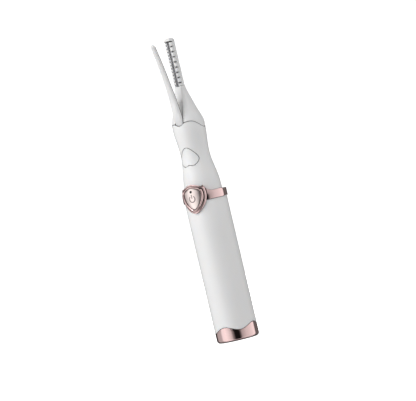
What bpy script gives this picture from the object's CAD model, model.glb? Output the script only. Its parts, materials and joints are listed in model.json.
import bpy
import bmesh
import json
import math
from mathutils import Matrix, Vector


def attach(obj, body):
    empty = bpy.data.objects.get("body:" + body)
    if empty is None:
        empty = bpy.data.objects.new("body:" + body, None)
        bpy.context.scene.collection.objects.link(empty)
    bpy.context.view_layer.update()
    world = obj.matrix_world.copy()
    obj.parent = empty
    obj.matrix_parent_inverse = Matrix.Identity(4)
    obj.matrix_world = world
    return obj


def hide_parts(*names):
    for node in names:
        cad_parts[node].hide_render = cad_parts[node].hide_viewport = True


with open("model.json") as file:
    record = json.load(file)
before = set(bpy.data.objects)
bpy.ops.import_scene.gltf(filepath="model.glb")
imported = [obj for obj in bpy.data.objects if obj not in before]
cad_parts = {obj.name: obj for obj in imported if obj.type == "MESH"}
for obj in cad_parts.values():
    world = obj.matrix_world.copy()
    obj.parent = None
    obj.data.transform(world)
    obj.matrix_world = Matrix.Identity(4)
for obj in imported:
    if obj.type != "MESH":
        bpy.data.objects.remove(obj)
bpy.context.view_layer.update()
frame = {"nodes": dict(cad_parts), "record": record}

nodes = frame["nodes"]
mm = 0.001


def linear(code):
    parts = [int(code[i:i + 2], 16) / 255 for i in (1, 3, 5)]
    return tuple(c / 12.92 if c < 0.04045 else ((c + 0.055) / 1.055) ** 2.4 for c in parts) + (1.0,)


def addNode(tree, kind, settings=None, links=None):
    node = tree.nodes.new(kind)
    for key, value in (settings or {}).items():
        if isinstance(key, int) or key in node.inputs:
            node.inputs[key].default_value = value
        else:
            setattr(node, key, value)
    for key, source in (links or {}).items():
        tree.links.new(source, node.inputs[key])
    return node


def newMaterial(name):
    mat = bpy.data.materials.new(name)
    mat.use_nodes = True
    tree = mat.node_tree
    return mat, tree, tree.nodes["Principled BSDF"]


# lengths in millimetres; seam and groove reach is how far into a gap the shade starts
moulding = {"seamReach": 0.8, "seamOpen": (0.3, 0.85), "seamShade": 0.16, "glowDepth": 0.8,
            "glowTint": (0.9, 0.8, 0.7), "edge": 0.15, "bumpDepth": 0.02, "smear": 14.0,
            "smearSpan": (0.3, 0.7)}
plating = {"drift": 6.0, "grooveReach": 1.6, "grooveOpen": (0.25, 0.8), "grooveShade": 0.08, "haze": 1.2,
           "hazeSpan": (0.35, 0.7), "bumpDepth": 0.01}


def mouldedPlastic(name, look):
    mat, tree, shader = newMaterial(name)
    colour = linear(look["colour"])
    # fine dust and shade sit in the seams
    openness = addNode(tree, "ShaderNodeAmbientOcclusion",
                       {"Distance": moulding["seamReach"] * mm, "samples": 8})
    clear = addNode(tree, "ShaderNodeMapRange",
                    {"From Min": moulding["seamOpen"][0], "From Max": moulding["seamOpen"][1]},
                    {"Value": openness.outputs["AO"]})
    dark = tuple(c * look.get("seam", moulding["seamShade"]) for c in colour[:3]) + (1.0,)
    tint = addNode(tree, "ShaderNodeMix", {"data_type": "RGBA", 6: dark, 7: colour},
                   {"Factor": clear.outputs[0]})
    tree.links.new(tint.outputs[2], shader.inputs["Base Color"])
    shader.inputs["Subsurface Weight"].default_value = look["depth"]
    shader.inputs["Subsurface Radius"].default_value = moulding["glowTint"]
    shader.inputs["Subsurface Scale"].default_value = moulding["glowDepth"] * mm
    where = addNode(tree, "ShaderNodeTexCoord").outputs["Object"]
    # faint sink waviness left by the mould, so highlights aren't ruler straight
    # the grain is drawn coarser than the real one, which wouldn't show
    waves = addNode(tree, "ShaderNodeTexNoise", {"Scale": 1 / (look["wave"] * mm), "Detail": 2.0},
                    {"Vector": where})
    grain = addNode(tree, "ShaderNodeTexNoise", {"Scale": 1 / (look["grain"] * mm), "Detail": 3.0},
                    {"Vector": where})
    height = addNode(tree, "ShaderNodeMath", {"operation": "MULTIPLY_ADD", 1: look["grainShare"]},
                     {0: grain.outputs[0], 2: waves.outputs[0]})
    # edges are eased as a mould leaves them
    edge = addNode(tree, "ShaderNodeBevel", {"Radius": moulding["edge"] * mm, "samples": 4})
    bump = addNode(tree, "ShaderNodeBump", {"Strength": look["bump"], "Distance": moulding["bumpDepth"] * mm},
                   {"Height": height.outputs[0], "Normal": edge.outputs[0]})
    tree.links.new(bump.outputs[0], shader.inputs["Normal"])
    # handling leaves the gloss slightly uneven, in patches about as wide as a fingertip
    smear = addNode(tree, "ShaderNodeTexNoise",
                    {"Scale": 1 / (moulding["smear"] * mm), "Detail": 4.0, "Roughness": 0.6},
                    {"Vector": where})
    rough = addNode(tree, "ShaderNodeMapRange",
                    {"From Min": moulding["smearSpan"][0], "From Max": moulding["smearSpan"][1],
                     "To Min": look["rough"][0], "To Max": look["rough"][1]}, {"Value": smear.outputs[0]})
    tree.links.new(rough.outputs[0], shader.inputs["Roughness"])
    return mat


def platedMetal(name, look):
    mat, tree, shader = newMaterial(name)
    shader.inputs["Metallic"].default_value = 1.0
    where = addNode(tree, "ShaderNodeTexCoord").outputs["Object"]
    # the plating is a touch warmer where it is thin
    drift = addNode(tree, "ShaderNodeTexNoise", {"Scale": 1 / (plating["drift"] * mm), "Detail": 3.0},
                    {"Vector": where})
    tint = addNode(tree, "ShaderNodeMix",
                   {"data_type": "RGBA", 6: linear(look["colour"]), 7: linear(look["warm"])},
                   {"Factor": drift.outputs[0]})
    # polish never reaches the grooves, so they stay darker
    openness = addNode(tree, "ShaderNodeAmbientOcclusion",
                       {"Distance": plating["grooveReach"] * mm, "samples": 8})
    clear = addNode(tree, "ShaderNodeMapRange",
                    {"From Min": plating["grooveOpen"][0], "From Max": plating["grooveOpen"][1],
                     "To Min": plating["grooveShade"]}, {"Value": openness.outputs["AO"]})
    shaded = addNode(tree, "ShaderNodeMix", {"data_type": "RGBA", "blend_type": "MULTIPLY", 0: 1.0},
                     {6: tint.outputs[2], 7: clear.outputs[0]})
    tree.links.new(shaded.outputs[2], shader.inputs["Base Color"])
    # polishing haze, drawn a few times coarser than the real one so that it shows
    haze = addNode(tree, "ShaderNodeTexNoise", {"Scale": 1 / (plating["haze"] * mm), "Detail": 5.0},
                   {"Vector": where})
    rough = addNode(tree, "ShaderNodeMapRange",
                    {"From Min": plating["hazeSpan"][0], "From Max": plating["hazeSpan"][1],
                     "To Min": look["rough"][0], "To Max": look["rough"][1]}, {"Value": haze.outputs[0]})
    tree.links.new(rough.outputs[0], shader.inputs["Roughness"])
    ripple = addNode(tree, "ShaderNodeBump",
                     {"Strength": look["bump"], "Distance": plating["bumpDepth"] * mm},
                     {"Height": haze.outputs[0]})
    tree.links.new(ripple.outputs[0], shader.inputs["Normal"])
    return mat


# wave and grain are widths in millimetres, depth is how much light goes into the plastic
# ABS from a polished mould: clean white, with soft broad highlights down the handle
whiteAbs = mouldedPlastic("polishedWhiteAbs", {
    "colour": "#F3F3F3", "depth": 0.25, "wave": 5.0, "grain": 0.25, "grainShare": 0.12, "bump": 0.25,
    "rough": (0.23, 0.27)})
# heat-proof moulding: duller white, so the head and arm read as another piece than the handle
headPlastic = mouldedPlastic("heatProofWhitePlastic", {
    "colour": "#EFEFEF", "depth": 0.2, "wave": 4.0, "grain": 0.2, "grainShare": 0.3, "bump": 0.3,
    "rough": (0.3, 0.4)})
# ABS straight from the mould: greyish white without a highlight
innerPlastic = mouldedPlastic("unpolishedAbs", {
    "colour": "#D6D7D6", "depth": 0.1, "wave": 3.0, "grain": 0.15, "grainShare": 0.6, "bump": 0.5,
    "rough": (0.5, 0.6)})
# cast silicone: even dull grey that swallows the light
silicone = mouldedPlastic("greySilicone", {
    "colour": "#858382", "depth": 0.1, "wave": 2.0, "grain": 0.12, "grainShare": 0.6, "bump": 0.5,
    "rough": (0.5, 0.65)})
# moulded resin of chips and sockets: black with a faint satin
blackResin = mouldedPlastic("mouldedBlackResin", {
    "colour": "#1C1C1E", "depth": 0.0, "wave": 2.0, "grain": 0.1, "grainShare": 0.6, "bump": 0.5,
    "rough": (0.45, 0.55)})
# smoked acrylic, polished: a dark dot with one sharp glint
smokedLens = mouldedPlastic("smokedLensAcrylic", {
    "colour": "#0B0908", "depth": 0.0, "wave": 1.0, "grain": 0.1, "grainShare": 0.05, "bump": 0.1,
    "rough": (0.05, 0.1)})
# enamel laid into the plate: warm grey lines, duller than the metal round them
symbolInk = mouldedPlastic("greyInlayEnamel", {
    "colour": "#8A7B7A", "depth": 0.0, "wave": 1.0, "grain": 0.1, "grainShare": 0.3, "bump": 0.2,
    "rough": (0.3, 0.4)})
# solder mask printed on a board: deep green with a half gloss
boardGreen = mouldedPlastic("solderMaskGreen", {
    "colour": "#1E5B3A", "depth": 0.0, "wave": 2.0, "grain": 0.2, "grainShare": 0.5, "bump": 0.3,
    "rough": (0.3, 0.45)})
# film shrunk round the cell: blue and rather glossy
cellWrap = mouldedPlastic("blueShrinkWrap", {
    "colour": "#3E6FA8", "depth": 0.0, "wave": 2.0, "grain": 0.2, "grainShare": 0.2, "bump": 0.3,
    "rough": (0.2, 0.3)})
# extruded silicone over a wire: dull dark red
wireSleeve = mouldedPlastic("redSiliconeSleeve", {
    "colour": "#8E1F1F", "depth": 0.0, "wave": 2.0, "grain": 0.1, "grainShare": 0.4, "bump": 0.3,
    "rough": (0.5, 0.6)})
# sintered ceramic: chalky off-white
heaterCeramic = mouldedPlastic("sinteredAlumina", {
    "colour": "#D9D5CC", "depth": 0.0, "wave": 1.0, "grain": 0.05, "grainShare": 0.9, "bump": 0.6,
    "rough": (0.6, 0.7)})
# enamel sprayed on the heated strip: mid grey whose ribs stand out by the shade between them
heaterMetal = mouldedPlastic("greyEnamelledStrip", {
    "colour": "#BCBCBF", "seam": 0.3, "depth": 0.0, "wave": 1.5, "grain": 0.08, "grainShare": 0.6,
    "bump": 0.4, "rough": (0.35, 0.45)})
# rose gold plated on a polished shell: a pink mirror with hard light and dark bands
rosePlate = platedMetal("roseGoldPlating", {
    "colour": "#E6CBCC", "warm": "#E6C8C5", "rough": (0.04, 0.09), "bump": 0.08})
# the same plating over a bead-blasted plate: paler, its reflections spread wide
roseSatin = platedMetal("satinRosePlating", {
    "colour": "#FBF0EE", "warm": "#F9E8E4", "rough": (0.3, 0.4), "bump": 0.15})
# drawn steel: cold silver with slightly soft reflections
brightSteel = platedMetal("brightSteel", {
    "colour": "#C6C8CB", "warm": "#BFC1C4", "rough": (0.15, 0.25), "bump": 0.2})

slotMaterials = {
    "white_gloss": whiteAbs, "white_head": headPlastic, "rose_metal": rosePlate, "plate_satin": roseSatin,
    "symbol_ink": symbolInk, "smoked_lens": smokedLens, "heater_metal": heaterMetal,
    "heater_ceramic": heaterCeramic, "chip_black": blackResin, "inner_plastic": innerPlastic,
    "steel": brightSteel, "pad_silicone": silicone,
    "board_green": boardGreen, "plunger_white": headPlastic, "cell_wrap": cellWrap, "wire_sleeve": wireSleeve,
}
for part in frame["record"]["subparts"]:
    piece = nodes[part["node"]]
    piece.data.materials.clear()
    piece.data.materials.append(slotMaterials[part["material_slot"]])
print("materials done")


def finishPiece(bm, name, body, slot, replaced, smoothDeg):
    bmesh.ops.remove_doubles(bm, verts=bm.verts, dist=0.002 * mm)
    bmesh.ops.recalc_face_normals(bm, faces=bm.faces)
    mesh = bpy.data.meshes.new(name)
    bm.to_mesh(mesh)
    bm.free()
    mesh.materials.append(slotMaterials[slot])
    mesh.shade_smooth()
    mesh.set_sharp_from_angle(angle=math.radians(smoothDeg))
    obj = bpy.data.objects.new(name, mesh)
    bpy.context.scene.collection.objects.link(obj)
    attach(obj, body)
    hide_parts(replaced)


def quarter(steps):
    return [math.pi / 2 * i / steps for i in range(steps + 1)]


def addLoop(bm, points):
    # closed line through points in millimetres
    verts = [bm.verts.new(Vector(p) * mm) for p in points]
    return [bm.edges.new((verts[i - 1], verts[i])) for i in range(len(verts))]


def skin(bm, loops):
    for one, two in zip(loops, loops[1:]):
        bmesh.ops.bridge_loops(bm, edges=one + two)


def drawOut(bm, points, vec):
    # flat face through the points, drawn out along vec; gives its edges and the far vertices
    near = [bm.verts.new(Vector(p) * mm) for p in points]
    face = bm.faces.new(near)
    grown = bmesh.ops.extrude_face_region(bm, geom=[face])["geom"]
    far = [v for v in grown if isinstance(v, bmesh.types.BMVert)]
    bmesh.ops.translate(bm, verts=far, vec=Vector(vec) * mm)
    return list(face.edges), far


def block(bm, x, y, z, ease=0.0, segments=2):
    # box between the pairs of limits, with its edges eased
    made = bmesh.ops.create_cube(bm, size=1.0)["verts"]
    size = Vector([high - low for low, high in (x, y, z)]) * mm
    middle = Vector([(low + high) / 2 for low, high in (x, y, z)]) * mm
    bmesh.ops.scale(bm, verts=made, vec=size)
    bmesh.ops.translate(bm, verts=made, vec=middle)
    if ease:
        edges = {e for v in made for e in v.link_edges}
        bmesh.ops.bevel(bm, geom=list(edges), offset=ease * mm, segments=segments, profile=0.5,
                        affect="EDGES", material=-1)


def spinProfile(profile, steps=144):
    bm = bmesh.new()
    edges = addLoop(bm, [(0, -r, z) for r, z in profile])
    bmesh.ops.spin(bm, geom=bm.verts[:] + edges, cent=(0, 0, 0), axis=(0, 0, 1), angle=2 * math.pi,
                   steps=steps, use_merge=True)
    bmesh.ops.remove_doubles(bm, verts=bm.verts, dist=0.002 * mm)
    return bm


def smoothLine(points, t):
    # value at t of a smooth curve through (t, value) points
    for i in range(len(points) - 1):
        if t <= points[i + 1][0] or i == len(points) - 2:
            break
    t0, v0 = points[i]
    t1, v1 = points[i + 1]
    before = points[i - 1] if i else points[i]
    after = points[i + 2] if i + 2 < len(points) else points[i + 1]
    s0 = (v1 - before[1]) / (t1 - before[0])
    s1 = (after[1] - v0) / (after[0] - t0)
    f = max(0.0, min(1.0, (t - t0) / (t1 - t0)))
    h = t1 - t0
    return ((2 * f ** 3 - 3 * f ** 2 + 1) * v0 + (f ** 3 - 2 * f ** 2 + f) * h * s0
            + (3 * f ** 2 - 2 * f ** 3) * v1 + (f ** 3 - f ** 2) * h * s1)


def closedOutline(points, count, inset=0.0):
    # smooth closed outline through right-half points and their mirror, evenly spaced, moved inwards by inset
    full = points + [(-x, z) for x, z in reversed(points) if abs(x) > 1e-6]
    fine = []
    n = len(full)
    for i in range(n):
        p0, p1, p2, p3 = (Vector(full[(i + k) % n]) for k in (-1, 0, 1, 2))
        for j in range(24):
            f = j / 24
            fine.append(0.5 * ((2 * p1) + (p2 - p0) * f + (2 * p0 - 5 * p1 + 4 * p2 - p3) * f * f
                               + (3 * p1 - p0 - 3 * p2 + p3) * f ** 3))
    lengths = [0.0]
    for i in range(len(fine)):
        lengths.append(lengths[-1] + (fine[(i + 1) % len(fine)] - fine[i]).length)
    out = []
    k = 0
    for i in range(count):
        want = lengths[-1] * i / count
        while lengths[k + 1] < want:
            k += 1
        f = (want - lengths[k]) / (lengths[k + 1] - lengths[k])
        out.append(fine[k].lerp(fine[(k + 1) % len(fine)], f))
    moved = []
    for i in range(count):
        along = (out[(i + 1) % count] - out[i - 1]).normalized()
        moved.append(out[i] + Vector((along.y, -along.x)) * inset)
    return moved


def wrapped(outline, radius):
    # the outline laid on a cylinder of that radius round the handle's axis
    return [(p.x, -math.sqrt(radius ** 2 - p.x ** 2), p.y) for p in outline]


def wave(bm, height, share):
    # four waves round the handle, as strong at each height as share says
    for v in bm.verts:
        v.co.z += height * math.cos(4 * math.atan2(v.co.x, -v.co.y)) * share(v.co.z / mm) * mm


# end cap: plated cup with a waved lip and a slot in its foot for the charging plug
cap = {"radius": 11.25, "bore": 9.85, "corner": 1.6, "lipHeight": 6.7, "lip": 0.22, "floor": 2.2,
       "waveHeight": 1.2, "waveFrom": 3.0, "waveOver": 3.0, "slot": 4.9, "slotEase": (5.1, 0.35),
       "slotFlat": 0.45, "footRing": 8.0}
foot = [(cap["radius"] - cap["corner"] * (1 - math.sin(t)), cap["corner"] * (1 - math.cos(t)))
        for t in quarter(8)]
wall = [(cap["radius"], z) for z in (2.4, 3.6, 5.0)]
lip = [(cap["radius"] - cap["lip"] * (1 - math.cos(t)), cap["lipHeight"] - cap["lip"] * (1 - math.sin(t)))
       for t in quarter(4)]
inside = [(cap["bore"], cap["lipHeight"]), (cap["bore"], 4.2), (cap["bore"], cap["floor"]),
          (cap["slot"], cap["floor"]), (cap["slot"], cap["slotEase"][1]), (cap["slotEase"][0], 0.0),
          (cap["footRing"], 0.0)]
bm = spinProfile(foot + wall + lip + inside)
wave(bm, cap["waveHeight"], lambda z: max(0.0, min(1.0, (z - cap["waveFrom"]) / cap["waveOver"])))
slotVerts = [v for v in bm.verts if math.hypot(v.co.x, v.co.y) < (cap["slotEase"][0] + 0.1) * mm]
bmesh.ops.scale(bm, verts=slotVerts, vec=(1, cap["slotFlat"], 1))
finishPiece(bm, "platedEndCap", "handle", "rose_metal", "end_cap", 35)

# sleeve: plain tube whose foot follows the waves of the cap
sleeve = {"radius": 11.25, "bore": 9.86, "foot": 6.86, "top": 74.42, "round": 0.16, "waveTo": 13.0,
          "waveOver": 5.0}
profile = [(sleeve["bore"], sleeve["foot"])]
profile += [(sleeve["radius"] - sleeve["round"] * (1 - math.sin(t)),
             sleeve["foot"] + sleeve["round"] * (1 - math.cos(t)))
            for t in quarter(4)]
profile += [(sleeve["radius"], z)
            for z in (8.2, 9.4, 10.6, 11.8, 13.0, 16.0, 30.0, 45.0, 60.0, sleeve["top"] - 0.2)]
profile += [(sleeve["radius"] - 0.06, sleeve["top"] - 0.06), (sleeve["radius"] - 0.2, sleeve["top"]),
            (sleeve["bore"], sleeve["top"]), (sleeve["bore"], sleeve["waveTo"])]
bm = spinProfile(profile)


def sleeveShare(z):
    fade = max(0.0, min(1.0, (sleeve["waveTo"] - z) / sleeve["waveOver"]))
    return fade * fade * (3 - 2 * fade)


wave(bm, cap["waveHeight"], sleeveShare)
finishPiece(bm, "polishedSleeve", "handle", "white_gloss", "handle_sleeve", 35)
print("handle done")

# shield: stamped frame with a rolled rim, a fine groove and a raised inner edge
# outline and window are right halves (x, z); layers and lip are (inset, radius) from the outside in
shield = {"count": 160,
          "outline": [(0, 83.8), (3.2, 82.95), (6.3, 81.5), (7.15, 79.4), (7.1, 76.6), (6.3, 74.0),
                      (4.4, 71.2), (2.2, 69.4), (0, 68.7)],
          "window": [(0, 81.9), (2.6, 81.1), (4.75, 79.7), (4.9, 77.6), (4.3, 75.4), (3.0, 73.2), (1.4, 71.6),
                     (0, 71.0)],
          "layers": [(0.0, 11.32), (0.0, 12.0), (0.07, 12.17), (0.2, 12.26), (0.44, 12.3), (0.56, 12.24),
                     (0.62, 11.9), (1.0, 11.88), (1.06, 12.1), (1.12, 12.5), (1.2, 12.72), (1.34, 12.84),
                     (1.5, 12.86)],
          "lip": [(-0.72, 12.8), (-0.5, 12.68), (-0.34, 12.5), (-0.27, 12.3), (-0.27, 11.46)]}
bm = bmesh.new()
loops = [addLoop(bm, wrapped(closedOutline(shield[line], shield["count"], inset), radius))
         for line, rows in (("outline", "layers"), ("window", "lip")) for inset, radius in shield[rows]]
skin(bm, loops + loops[:1])
finishPiece(bm, "shieldFrame", "handle", "rose_metal", "shield_bezel", 32)

# power plate: pale and lightly domed, with a soft edge and a back as curved as the handle behind it
plate = {"radius": 12.36, "thick": 0.35, "edge": 0.18, "dome": 0.22, "centre": 77.0, "rings": 8}


def plateRing(line, share, radius):
    around = [Vector((p.x * share, plate["centre"] + (p.y - plate["centre"]) * share)) for p in line]
    return addLoop(bm, wrapped(around, radius))


bm = bmesh.new()
window, eased, top = (closedOutline(shield["window"], shield["count"], inset) for inset in (0.0, 0.06, 0.2))
shares = [(i + 1) / plate["rings"] for i in range(plate["rings"])]
loops = [plateRing(window, share, plate["radius"] - plate["thick"]) for share in shares]
loops += [plateRing(window, 1.0, plate["radius"] - plate["edge"]),
          plateRing(eased, 1.0, plate["radius"] - 0.05)]
loops += [plateRing(top, share, plate["radius"] + plate["dome"] * (1 - share ** 2))
          for share in reversed(shares)]
skin(bm, loops)
for ring in (loops[0], loops[-1]):
    bmesh.ops.holes_fill(bm, edges=ring, sides=0)
bmesh.ops.triangulate(bm, faces=[f for f in bm.faces if len(f.verts) > 4])
finishPiece(bm, "powerPlate", "power_key", "plate_satin", "power_button", 35)

# power symbol: open ring with a bar, laid into the plate
symbol = {"centre": 76.4, "outer": 1.9, "inner": 1.42, "gapDeg": 38, "barHalf": 0.24, "bar": (76.7, 78.75),
          "proud": 0.25, "thick": 0.3}
bm = bmesh.new()
gap = math.radians(symbol["gapDeg"])
pair = [bm.verts.new(Vector((r * math.sin(gap), 0, symbol["centre"] + r * math.cos(gap))) * mm)
        for r in (symbol["inner"], symbol["outer"])]
bmesh.ops.spin(bm, geom=pair + [bm.edges.new(pair)], cent=(0, 0, symbol["centre"] * mm), axis=(0, 1, 0),
               angle=2 * (math.pi - gap), steps=48)
upright = Matrix.Rotation(math.pi / 2, 4, "X")
bar = bmesh.ops.create_grid(bm, x_segments=1, y_segments=6, size=0.5, matrix=upright)["verts"]
barTall = symbol["bar"][1] - symbol["bar"][0]
bmesh.ops.scale(bm, verts=bar, vec=(2 * symbol["barHalf"] * mm, 1, barTall * mm))
bmesh.ops.translate(bm, verts=bar, vec=(0, 0, sum(symbol["bar"]) / 2 * mm))
for v in bm.verts:
    v.co.y = -math.sqrt(((plate["radius"] + symbol["proud"]) * mm) ** 2 - v.co.x ** 2)
bmesh.ops.recalc_face_normals(bm, faces=bm.faces)
bmesh.ops.solidify(bm, geom=bm.faces[:], thickness=symbol["thick"] * mm)
finishPiece(bm, "powerMark", "power_key", "symbol_ink", "power_symbol", 35)

# light window: small dark dome, long behind so that it fills its hole
lens = {"radius": 0.7, "height": 80.1, "out": 12.5, "dome": 0.16, "behind": 4}
bm = bmesh.new()
bmesh.ops.create_uvsphere(bm, u_segments=24, v_segments=12, radius=lens["radius"] * mm)
bmesh.ops.scale(bm, verts=bm.verts, vec=(1, lens["dome"] / lens["radius"], 1))
bmesh.ops.scale(bm, verts=[v for v in bm.verts if v.co.y >= 0], vec=(1, lens["behind"], 1))
bmesh.ops.translate(bm, verts=bm.verts, vec=(0, -lens["out"] * mm, lens["height"] * mm))
finishPiece(bm, "lightWindow", "power_key", "smoked_lens", "led_window", 40)
print("shield done")

# ring: band with eased edges that flares up to the shield on both sides
# flare is (degrees from the front, height of the top edge)
band = {"outer": 11.8, "bore": 9.87, "low": 74.5, "middle": 76.6, "high": 78.8, "ease": 0.24, "openDeg": 30,
        "steps": 220, "flare": [(33.0, 82.3), (37.0, 81.3), (41.0, 80.15), (46.0, 79.3), (52.0, 78.88),
                                (60.0, 78.8), (180.0, 78.8)]}
outer, low, high, ease = band["outer"], band["low"], band["high"], band["ease"]
section = [(band["bore"], low), (outer - ease, low), (outer - 0.3 * ease, low + 0.3 * ease),
           (outer, low + ease), (outer, band["middle"]), (outer, high - ease),
           (outer - 0.3 * ease, high - 0.3 * ease), (outer - ease, high),
           (band["bore"], high)]
opening = math.radians(band["openDeg"])
bm = bmesh.new()
edges = addLoop(bm, [(r * math.sin(opening), -r * math.cos(opening), z) for r, z in section])
bmesh.ops.spin(bm, geom=bm.verts[:] + edges, cent=(0, 0, 0), axis=(0, 0, 1), angle=2 * (math.pi - opening),
               steps=band["steps"])
bmesh.ops.holes_fill(bm, edges=[e for e in bm.edges if e.is_boundary], sides=0)
for v in bm.verts:
    if v.co.z > (band["middle"] + 0.1) * mm:
        fromFront = abs(math.degrees(math.atan2(v.co.x, -v.co.y)))
        v.co.z += (smoothLine(band["flare"], max(band["flare"][0][0], fromFront)) - high) * mm
finishPiece(bm, "flaredRing", "handle", "rose_metal", "trim_ring", 35)
print("ring done")

# clamp arm: bowed blade, round on its outer side, on a hub inside the neck
# outer and inner are (z, y) of its two faces, half is (z, half width)
arm = {"outer": [(114.4, -7.9), (118.0, -9.2), (122.0, -9.75), (127.3, -9.95), (135.0, -11.25),
                 (143.0, -12.95), (151.0, -15.0), (157.4, -17.0)],
       "inner": [(114.4, -5.0), (118.0, -6.9), (122.0, -7.6), (127.3, -8.25), (135.0, -9.6), (143.0, -11.3),
                 (151.0, -13.45), (157.9, -15.6)],
       "half": [(113.0, 2.3), (118.0, 2.32), (122.0, 2.3), (127.3, 2.05), (135.0, 1.7), (143.0, 1.47),
                (151.0, 1.32), (157.4, 1.2)],
       "low": 114.7, "shoulder": 156.4, "tip": 158.3, "stations": 56, "tipRings": 9, "side": 0.32,
       "power": 2.5, "ease": 0.12, "footHollow": 0.16, "footOver": 2.5,
       "hub": {"radius": 1.6, "wide": 4.5, "y": -5.3, "z": 113.4},
       "tail": {"wide": 1.8, "y": -4.6, "z": 110.2, "long": 5.8, "thickLow": 1.0, "thickHigh": 1.7}}


def armSection(z, shrink=1.0):
    # right to left over the outer side, then back along the inner face
    outer, inner, half = (smoothLine(arm[key], z) for key in ("outer", "inner", "half"))
    middle = (outer + inner) / 2
    outer, inner, half = middle + (outer - middle) * shrink, middle + (inner - middle) * shrink, half * shrink
    shoulderY = inner + (outer - inner) * arm["side"]
    # the foot is nearly square, the blade oval
    power = arm["power"] + 5.0 * max(0.0, 1 - (z - arm["low"]) / 7.0)
    points = []
    for k in range(25):
        t = math.pi * k / 24
        c, d = math.cos(t), math.sin(t)
        points.append((half * math.copysign(abs(c) ** (2 / power), c),
                       shoulderY + (outer - shoulderY) * d ** (2 / power)))
    ease = arm["ease"] * shrink
    points += [(-half, inner - 2 * ease), (-half + ease, inner - ease), (-half + 2.5 * ease, inner)]
    points += [(half * f, inner) for f in (-2 / 3, -1 / 3, 0.0, 1 / 3, 2 / 3)]
    points += [(half - 2.5 * ease, inner), (half - ease, inner - ease), (half, inner - 2 * ease)]
    return points


bm = bmesh.new()
loops = []
for i in range(arm["stations"]):
    z = arm["low"] + (arm["shoulder"] - arm["low"]) * i / (arm["stations"] - 1)
    # the foot follows the hollow in the neck
    hollow = arm["footHollow"] * max(0.0, 1 - (z - arm["low"]) / arm["footOver"])
    loops.append(addLoop(bm, [(x, y, z + hollow * x * x) for x, y in armSection(z)]))
for i in range(arm["tipRings"]):
    t = math.pi / 2 * (i + 1) / (arm["tipRings"] + 0.3)
    z = arm["shoulder"] + (arm["tip"] - arm["shoulder"]) * math.sin(t)
    loops.append(addLoop(bm, [(x, y, z) for x, y in armSection(z, math.cos(t) ** 0.75)]))
skin(bm, loops)
for ring in (loops[0], loops[-1]):
    bmesh.ops.holes_fill(bm, edges=ring, sides=0)
hub = arm["hub"]
across = Matrix.Translation((0, hub["y"] * mm, hub["z"] * mm)) @ Matrix.Rotation(math.pi / 2, 4, "Y")
bmesh.ops.create_cone(bm, cap_ends=True, segments=48, radius1=hub["radius"] * mm, radius2=hub["radius"] * mm,
                      depth=hub["wide"] * mm, matrix=across)
tail = arm["tail"]
made = bmesh.ops.create_cube(bm, size=1.0)["verts"]
bmesh.ops.scale(bm, verts=made, vec=(tail["wide"] * mm, tail["thickHigh"] * mm, tail["long"] * mm))
bmesh.ops.scale(bm, verts=[v for v in made if v.co.z < 0], vec=(1, tail["thickLow"] / tail["thickHigh"], 1))
bmesh.ops.translate(bm, verts=made, vec=(0, tail["y"] * mm, tail["z"] * mm))
finishPiece(bm, "clampBlade", "arm", "white_head", "clamp_arm", 38)

# silicone lining of the arm's inner face, with its pressing rib
lining = {"low": 115.6, "high": 157.0, "rows": 60, "thick": 0.5, "proud": 0.06, "overlap": 0.03, "ease": 0.1,
          "ribLow": 136.5, "ribHigh": 156.5, "ribHalf": 0.72, "ribRise": 0.95, "ribRamp": 0.8,
          "ribEase": 0.25}
bm = bmesh.new()
loops = []
for i in range(lining["rows"] + 1):
    z = lining["low"] + (lining["high"] - lining["low"]) * i / lining["rows"]
    inner = smoothLine(arm["inner"], z)
    half = smoothLine(arm["half"], z) + lining["overlap"]
    face = inner + lining["proud"]
    rise = max(0.0, min(1.0, (z - lining["ribLow"]) / lining["ribRamp"],
                        (lining["ribHigh"] - z) / lining["ribRamp"]))
    crest = face + rise * lining["ribRise"]
    rib, ease = lining["ribHalf"], lining["ease"]
    rightHalf = [(half, inner - lining["thick"]), (half, face - ease), (half - 1.2 * ease, face),
                 (rib + ease, face), (rib, (face + crest) / 2), (rib - lining["ribEase"], crest)]
    leftHalf = [(-x, y) for x, y in reversed(rightHalf)]
    loops.append(addLoop(bm, [(x, y, z) for x, y in rightHalf + leftHalf]))
skin(bm, loops)
for ring in (loops[0], loops[-1]):
    bmesh.ops.holes_fill(bm, edges=ring, sides=0)
finishPiece(bm, "siliconeLining", "arm", "pad_silicone", "clamp_pad", 38)
print("arm done")

# comb: channel with fine teeth on the left and broad ones on the right
# a row is its count, pitch, first slot, half slot, the slot's foot and the rounding of its teeth
comb = {"low": 135.06, "top": 160.7, "shoulder": 158.9, "half": 2.1, "front": -1.56, "back": 2.45, "tip": 1.7,
        "tipEase": 0.3, "lip": 0.8, "corner": 0.45, "channel": 1.15, "channelFloor": 0.95,
        "left": {"count": 14, "pitch": 1.75, "first": 135.9, "halfSlot": 0.33, "foot": -0.35, "ease": 0.16},
        "right": {"count": 9, "pitch": 2.75, "first": 136.8, "halfSlot": 0.36, "foot": 0.12, "ease": 0.26},
        "root": ((-1.3, 1.3), (-0.3, 1.95), (129.0, 135.2))}
half, back, corner, channel = comb["half"], comb["back"], comb["corner"], comb["channel"]
rightFoot, leftFoot = comb["right"]["foot"], comb["left"]["foot"]
rounded = [(half - corner * (1 - math.sin(t)), back - corner * (1 - math.cos(t)))
           for t in reversed(quarter(4))]
spine = [(channel, comb["channelFloor"]), (channel, rightFoot), (half - 0.1, rightFoot),
         (half, rightFoot + 0.1)] + rounded
spine += [(-x, y) for x, y in reversed(rounded)]
spine += [(-half, leftFoot + 0.08), (-half + 0.08, leftFoot), (-channel, leftFoot),
          (-channel, comb["channelFloor"])]
bm = bmesh.new()
drawOut(bm, [(x, y, comb["low"]) for x, y in spine], (0, 0, comb["shoulder"] + 0.05 - comb["low"]))
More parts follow.
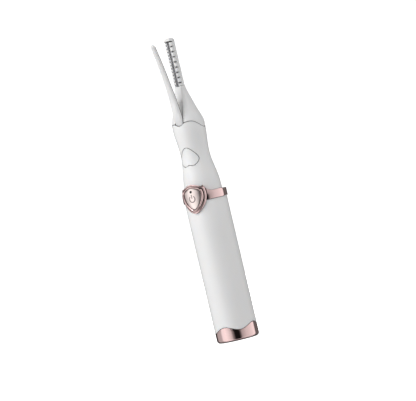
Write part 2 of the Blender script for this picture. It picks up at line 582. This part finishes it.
dome = [(half - comb["tip"] * (1 - math.cos(t)), comb["top"] - comb["tip"] * (1 - math.sin(t)))
        for t in quarter(8)]
tipLine = [(half, comb["shoulder"])] + dome
tipLine += [(-x, z) for x, z in reversed(dome)] + [(-half, comb["shoulder"])]
nearEdges, farVerts = drawOut(bm, [(x, comb["front"], z) for x, z in tipLine], (0, back - comb["front"], 0))
farEdges = {e for v in farVerts for e in v.link_edges if all(w in farVerts for w in e.verts)}
bmesh.ops.bevel(bm, geom=nearEdges + list(farEdges), offset=comb["tipEase"] * mm, segments=3, profile=0.5,
                affect="EDGES", material=-1)
for side, row in ((-1, comb["left"]), (1, comb["right"])):
    slot = row["halfSlot"]
    slots = [comb["low"] - slot] + [row["first"] + row["pitch"] * i for i in range(row["count"])]
    slots += [comb["shoulder"] + slot + 0.1]
    for one, two in zip(slots, slots[1:]):
        tall = two - one - 2 * slot
        if tall > 0.2:
            block(bm, sorted((side * comb["lip"], side * half)), (comb["front"], row["foot"] + 0.25),
                  (one + slot, two - slot), min(row["ease"], tall * 0.3), 3)
block(bm, *comb["root"])
finishPiece(bm, "toothedComb", "handle", "white_head", "comb_frame", 38)

# heater strip with its fine ribs, and the flange under the left teeth that darkens the slots between them
heater = {"half": 0.72, "front": -0.42, "back": 0.25, "low": 135.3, "high": 158.7, "ease": 0.1, "pitch": 0.9,
          "ribHalf": 0.16, "ribRise": 0.13, "ribEase": 0.06, "flange": ((-2.02, -0.6), (-0.98, -0.3)),
          "flangeEase": 0.05}
bm = bmesh.new()
stripHigh = (heater["low"], heater["high"])
block(bm, (-heater["half"], heater["half"]), (heater["front"], heater["back"]), stripHigh, heater["ease"])
block(bm, *heater["flange"], stripHigh, heater["flangeEase"])
z = heater["low"] + 0.5
while z < heater["high"] - 0.4:
    block(bm, (0.05 - heater["half"], heater["half"] - 0.05),
          (heater["front"] - heater["ribRise"], heater["front"] + 0.1),
          (z - heater["ribHalf"], z + heater["ribHalf"]), heater["ribEase"])
    z += heater["pitch"]
finishPiece(bm, "ribbedHeater", "handle", "heater_metal", "heater_bar", 38)
print("comb done")

# studio: lengths from here on are in metres
scene = bpy.context.scene
viewAzimuth = 33.0


def finishStage(bm, name, material):
    mesh = bpy.data.meshes.new(name)
    bm.to_mesh(mesh)
    bm.free()
    mesh.shade_smooth()
    mesh.materials.append(material)
    obj = bpy.data.objects.new(name, mesh)
    scene.collection.objects.link(obj)
    obj.visible_diffuse = False
    return obj


# pale round floor that curves up into the backdrop
sweep = {"radius": 2.6, "curve": 0.8, "height": 1.7, "colour": "#FDFDFD", "rough": 0.9, "glow": 0.8}
bm = bmesh.new()
flat = sweep["radius"] - sweep["curve"]
profile = [(0.0, 0.0), (flat, 0.0)]
profile += [(flat + sweep["curve"] * math.sin(t), sweep["curve"] * (1 - math.cos(t)))
            for t in quarter(12)[1:]]
profile += [(sweep["radius"], sweep["height"])]
row = [bm.verts.new((r, 0, z)) for r, z in profile]
edges = [bm.edges.new(pair) for pair in zip(row, row[1:])]
bmesh.ops.spin(bm, geom=row + edges, cent=(0, 0, 0), axis=(0, 0, 1), angle=2 * math.pi, steps=72,
               use_merge=True)
bmesh.ops.remove_doubles(bm, verts=bm.verts, dist=1e-5)
bmesh.ops.recalc_face_normals(bm, faces=bm.faces)
bmesh.ops.reverse_faces(bm, faces=bm.faces)
# matt emulsion, rolled on: even white that throws back no image
backdrop, tree, shader = newMaterial("matteWhiteBackdropPaint")
shader.inputs["Base Color"].default_value = linear(sweep["colour"])
shader.inputs["Roughness"].default_value = sweep["rough"]
shader.inputs["Emission Color"].default_value = (1, 1, 1, 1)
shader.inputs["Emission Strength"].default_value = sweep["glow"]
finishStage(bm, "studioSweep", backdrop).visible_glossy = False

# light: soft boxes at (degrees from the front, degrees up, distance); the sheen ones only show in reflections
air = {"colour": (1, 1, 1, 1), "strength": 0.42}
boxes = {
    "keyLeft": {"at": (viewAzimuth - 62, 25, 0.9), "size": (0.7, 0.9), "watts": 6.2, "sheen": False},
    "fillRight": {"at": (viewAzimuth + 70, 15, 0.9), "size": (0.5, 0.9), "watts": 2.4, "sheen": False},
    "backFill": {"at": (viewAzimuth + 180, 20, 0.9), "size": (0.7, 0.9), "watts": 2.6, "sheen": False},
    "topSheen": {"at": (viewAzimuth - 20, 75, 0.8), "size": (0.5, 0.5), "watts": 2.0, "sheen": True},
    "floorBounce": {"at": (viewAzimuth, -88, 0.6), "size": (0.9, 0.9), "watts": 1.3, "sheen": True},
}
aimHeight = 0.08
world = bpy.data.worlds.new("studioAir")
scene.world = world
world.use_nodes = True
world.node_tree.nodes["Background"].inputs[0].default_value = air["colour"]
world.node_tree.nodes["Background"].inputs[1].default_value = air["strength"]
world.cycles_visibility.glossy = False
for name, box in boxes.items():
    data = bpy.data.lights.new(name, "AREA")
    data.shape = "RECTANGLE"
    data.size, data.size_y = box["size"]
    data.energy = box["watts"]
    lamp = bpy.data.objects.new(name, data)
    turn, lift = (math.radians(deg) for deg in box["at"][:2])
    away = Vector((math.sin(turn) * math.cos(lift), -math.cos(turn) * math.cos(lift), math.sin(lift)))
    lamp.location = Vector((0, 0, aimHeight)) + away * box["at"][2]
    lamp.rotation_mode = "QUATERNION"
    lamp.rotation_quaternion = away.to_track_quat("Z", "Y")
    lamp.visible_camera = False
    lamp.visible_glossy = box["sheen"]
    lamp.visible_diffuse = not box["sheen"]
    scene.collection.objects.link(lamp)

# reflection tent: what the plated metal sees, bright panels with soft edges and dark between
# stops are (degrees round from the camera, brightness)
tent = {"radius": 1.6, "low": -2.2, "high": 2.4, "warmth": (1.0, 0.985, 0.97),
        "stops": [(-180, 0.8), (-167, 0.7), (-158, 0.06), (-136, 0.06), (-131, 0.5), (-96, 0.6), (-86, 1.15),
                  (-64, 1.25), (-48, 1.05), (-32, 0.75), (-24, 0.3), (-12, 0.01), (11, 0.01), (17, 0.1),
                  (26, 0.5), (50, 0.8), (75, 0.95), (100, 1.15), (109, 1.15), (113, 0.14), (135, 0.2),
                  (150, 0.08), (158, 0.08), (167, 0.7)]}
bm = bmesh.new()
bmesh.ops.create_cone(bm, segments=96, radius1=tent["radius"], radius2=tent["radius"],
                      depth=tent["high"] - tent["low"])
bmesh.ops.translate(bm, verts=bm.verts, vec=(0, 0, (tent["high"] + tent["low"]) / 2))
bmesh.ops.reverse_faces(bm, faces=bm.faces)
# translucent nylon lit from outside: smooth light and dark panels
tentCloth, tree, shader = newMaterial("backlitTentCloth")
tree.nodes.remove(shader)
coords = addNode(tree, "ShaderNodeTexCoord")
turned = addNode(tree, "ShaderNodeMapping", {"Rotation": (0, 0, math.radians(90 - viewAzimuth))},
                 {"Vector": coords.outputs["Object"]})
radial = addNode(tree, "ShaderNodeTexGradient", {"gradient_type": "RADIAL"}, {"Vector": turned.outputs[0]})
ramp = addNode(tree, "ShaderNodeValToRGB", None, {"Fac": radial.outputs["Fac"]})
while len(ramp.color_ramp.elements) < len(tent["stops"]):
    ramp.color_ramp.elements.new(0.5)
for element, (deg, value) in zip(ramp.color_ramp.elements, tent["stops"]):
    element.position = (deg + 180) / 360
    element.color = tuple(value * share for share in tent["warmth"]) + (1,)
glow = addNode(tree, "ShaderNodeEmission", {"Strength": 1.0}, {"Color": ramp.outputs[0]})
tree.links.new(glow.outputs[0], tree.nodes["Material Output"].inputs["Surface"])
reflectionTent = finishStage(bm, "reflectionTent", tentCloth)
reflectionTent.visible_camera = False
reflectionTent.visible_shadow = False
reflectionTent.visible_transmission = False

# camera: level, from far off, with the frame tilted; aim and frame height in millimetres
shot = {"focal": 200.0, "tiltDeg": 13.2, "aimSide": 0.97, "aimUp": 73.9, "frame": 216.3, "clip": (0.05, 20.0)}
lensData = bpy.data.cameras.new("camera")
lensData.lens = shot["focal"]
lensData.clip_start, lensData.clip_end = shot["clip"]
camera = bpy.data.objects.new("camera", lensData)
scene.collection.objects.link(camera)
scene.camera = camera
turn = math.radians(viewAzimuth)
back = Vector((math.sin(turn), -math.cos(turn), 0))
side = Vector((math.cos(turn), math.sin(turn), 0))
aim = (side * shot["aimSide"] + Vector((0, 0, shot["aimUp"]))) * mm
camera.location = aim + back * (shot["frame"] * mm * shot["focal"] / lensData.sensor_width)
camera.rotation_mode = "QUATERNION"
tilt = Matrix.Rotation(math.radians(-shot["tiltDeg"]), 3, "Z")
camera.rotation_quaternion = (back.to_track_quat("Z", "Y").to_matrix() @ tilt).to_quaternion()
scene.view_settings.view_transform = "Standard"
print("camera and light done")
